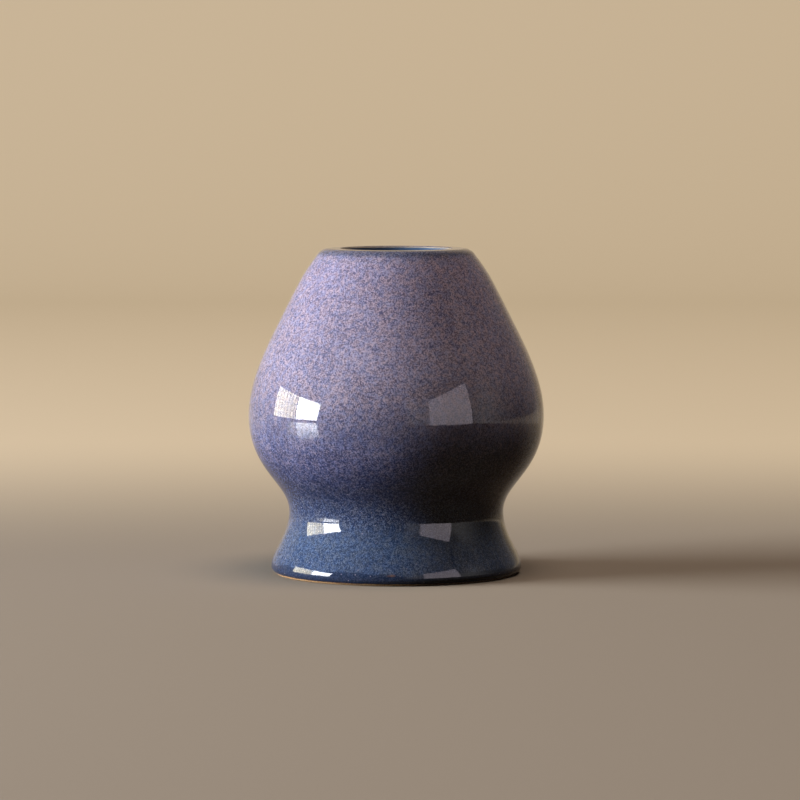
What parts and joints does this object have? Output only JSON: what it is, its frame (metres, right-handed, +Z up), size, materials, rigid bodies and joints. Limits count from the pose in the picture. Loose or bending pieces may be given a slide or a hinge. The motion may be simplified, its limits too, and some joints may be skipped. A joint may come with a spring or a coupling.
{
  "type": "tea whisk holder",
  "caption": "Round glazed stoneware stand with a hollow bulb, a narrow open mouth, a pinched waist and a flared foot, for shaping and drying a bamboo tea whisk.",
  "frame": {"origin": "middle of the foot ring, in the plane that rests on the table", "axes": "+Z up along the axis of the round vessel, out of its mouth; X and Y are alike, and the picture looks along +Y"},
  "size_m": [0.0636, 0.0636, 0.07],
  "materials": {
    "bare_stoneware": "matte fired clay, fine buff grit",
    "lavender_glaze": "high gloss, fine pink-beige and indigo speckle, darkening towards the waist",
    "blue_glaze": "high gloss steel blue with sparse pale flecks",
    "lining_glaze": "gloss, plain blue"
  },
  "bodies": {
    "root": {"stoneware_body": "bare_stoneware", "lavender_glaze": "lavender_glaze", "blue_glaze": "blue_glaze", "well_glaze": "lining_glaze", "recess_glaze": "blue_glaze"}
  },
  "joints": []
}
